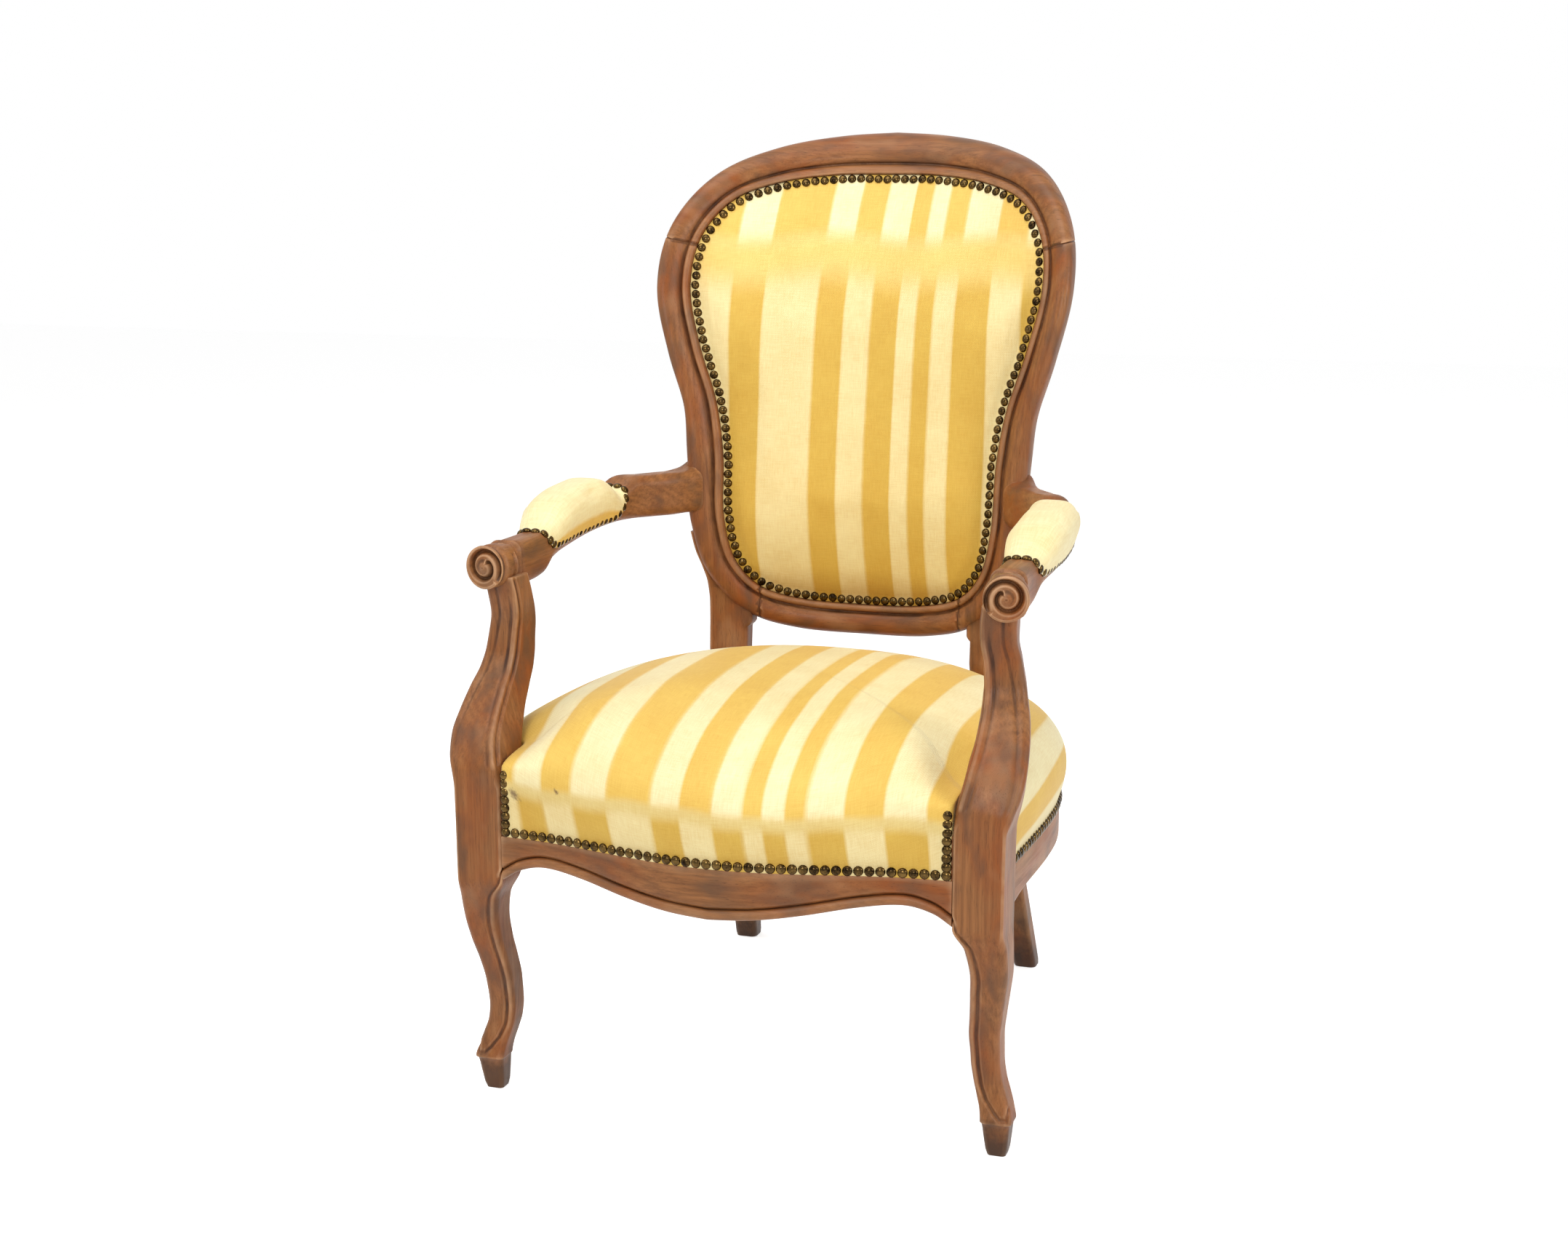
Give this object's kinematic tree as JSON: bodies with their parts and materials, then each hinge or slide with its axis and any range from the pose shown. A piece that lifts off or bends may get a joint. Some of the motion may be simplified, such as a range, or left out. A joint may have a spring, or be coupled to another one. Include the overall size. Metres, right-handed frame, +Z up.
{
  "type": "upholstered armchair",
  "caption": "Upholstered wooden armchair with a waisted medallion back, scrolled open arms with padded rests, a sprung seat, curved front legs and splayed back legs.",
  "frame": {"origin": "on the floor, under the middle of the whole chair's box", "axes": "+Z up, the chair faces -Y, +X is towards the right of someone who looks at its front"},
  "size_m": [0.6074, 0.6914, 1.01],
  "materials": {
    "walnut": "polished walnut, slightly worn",
    "beech": "plain unpolished beech",
    "striped_fabric": "satin weave with plain gold and cream stripes",
    "stuffing": "horsehair",
    "hessian": "coarse jute cloth",
    "webbing": "woven jute strap",
    "bronze_nails": "dark antique bronze",
    "spring_steel": "drawn wire",
    "steel_screw": "plain"
  },
  "bodies": {
    "root": {"crest_rail": "walnut", "lower_back_rail": "walnut", "back_post_right": "walnut", "back_post_left": "walnut", "front_post_right": "walnut", "front_post_left": "walnut", "arm_right": "walnut", "arm_left": "walnut", "arm_screw_right": "steel_screw", "arm_screw_left": "steel_screw", "front_seat_rail": "walnut", "side_seat_rail_right": "walnut", "side_seat_rail_left": "walnut", "back_seat_rail": "beech", "front_corner_block_right": "beech", "front_corner_block_left": "beech", "back_corner_block_right": "beech", "back_corner_block_left": "beech", "seat_webbing_long_1": "webbing", "seat_webbing_long_2": "webbing", "seat_webbing_long_3": "webbing", "seat_webbing_long_4": "webbing", "seat_webbing_cross_1": "webbing", "seat_webbing_cross_2": "webbing", "seat_webbing_cross_3": "webbing", "seat_webbing_cross_4": "webbing", "seat_spring_1": "spring_steel", "seat_spring_2": "spring_steel", "seat_spring_3": "spring_steel", "seat_spring_4": "spring_steel", "seat_spring_5": "spring_steel", "spring_hessian": "hessian", "seat_stuffing": "stuffing", "seat_cover": "striped_fabric", "seat_nails_front": "bronze_nails", "seat_nails_right": "bronze_nails", "seat_nails_left": "bronze_nails", "seat_nails_back": "bronze_nails", "back_webbing_1": "webbing", "back_webbing_2": "webbing", "back_canvas": "hessian", "back_stuffing": "stuffing", "back_cover_front": "striped_fabric", "back_cover_rear": "striped_fabric", "back_nails_front": "bronze_nails", "back_nails_rear": "bronze_nails", "arm_pad_stuffing_right": "stuffing", "arm_pad_stuffing_left": "stuffing", "arm_pad_cover_right": "striped_fabric", "arm_pad_cover_left": "striped_fabric", "arm_pad_nails_right": "bronze_nails", "arm_pad_nails_left": "bronze_nails"}
  },
  "joints": []
}
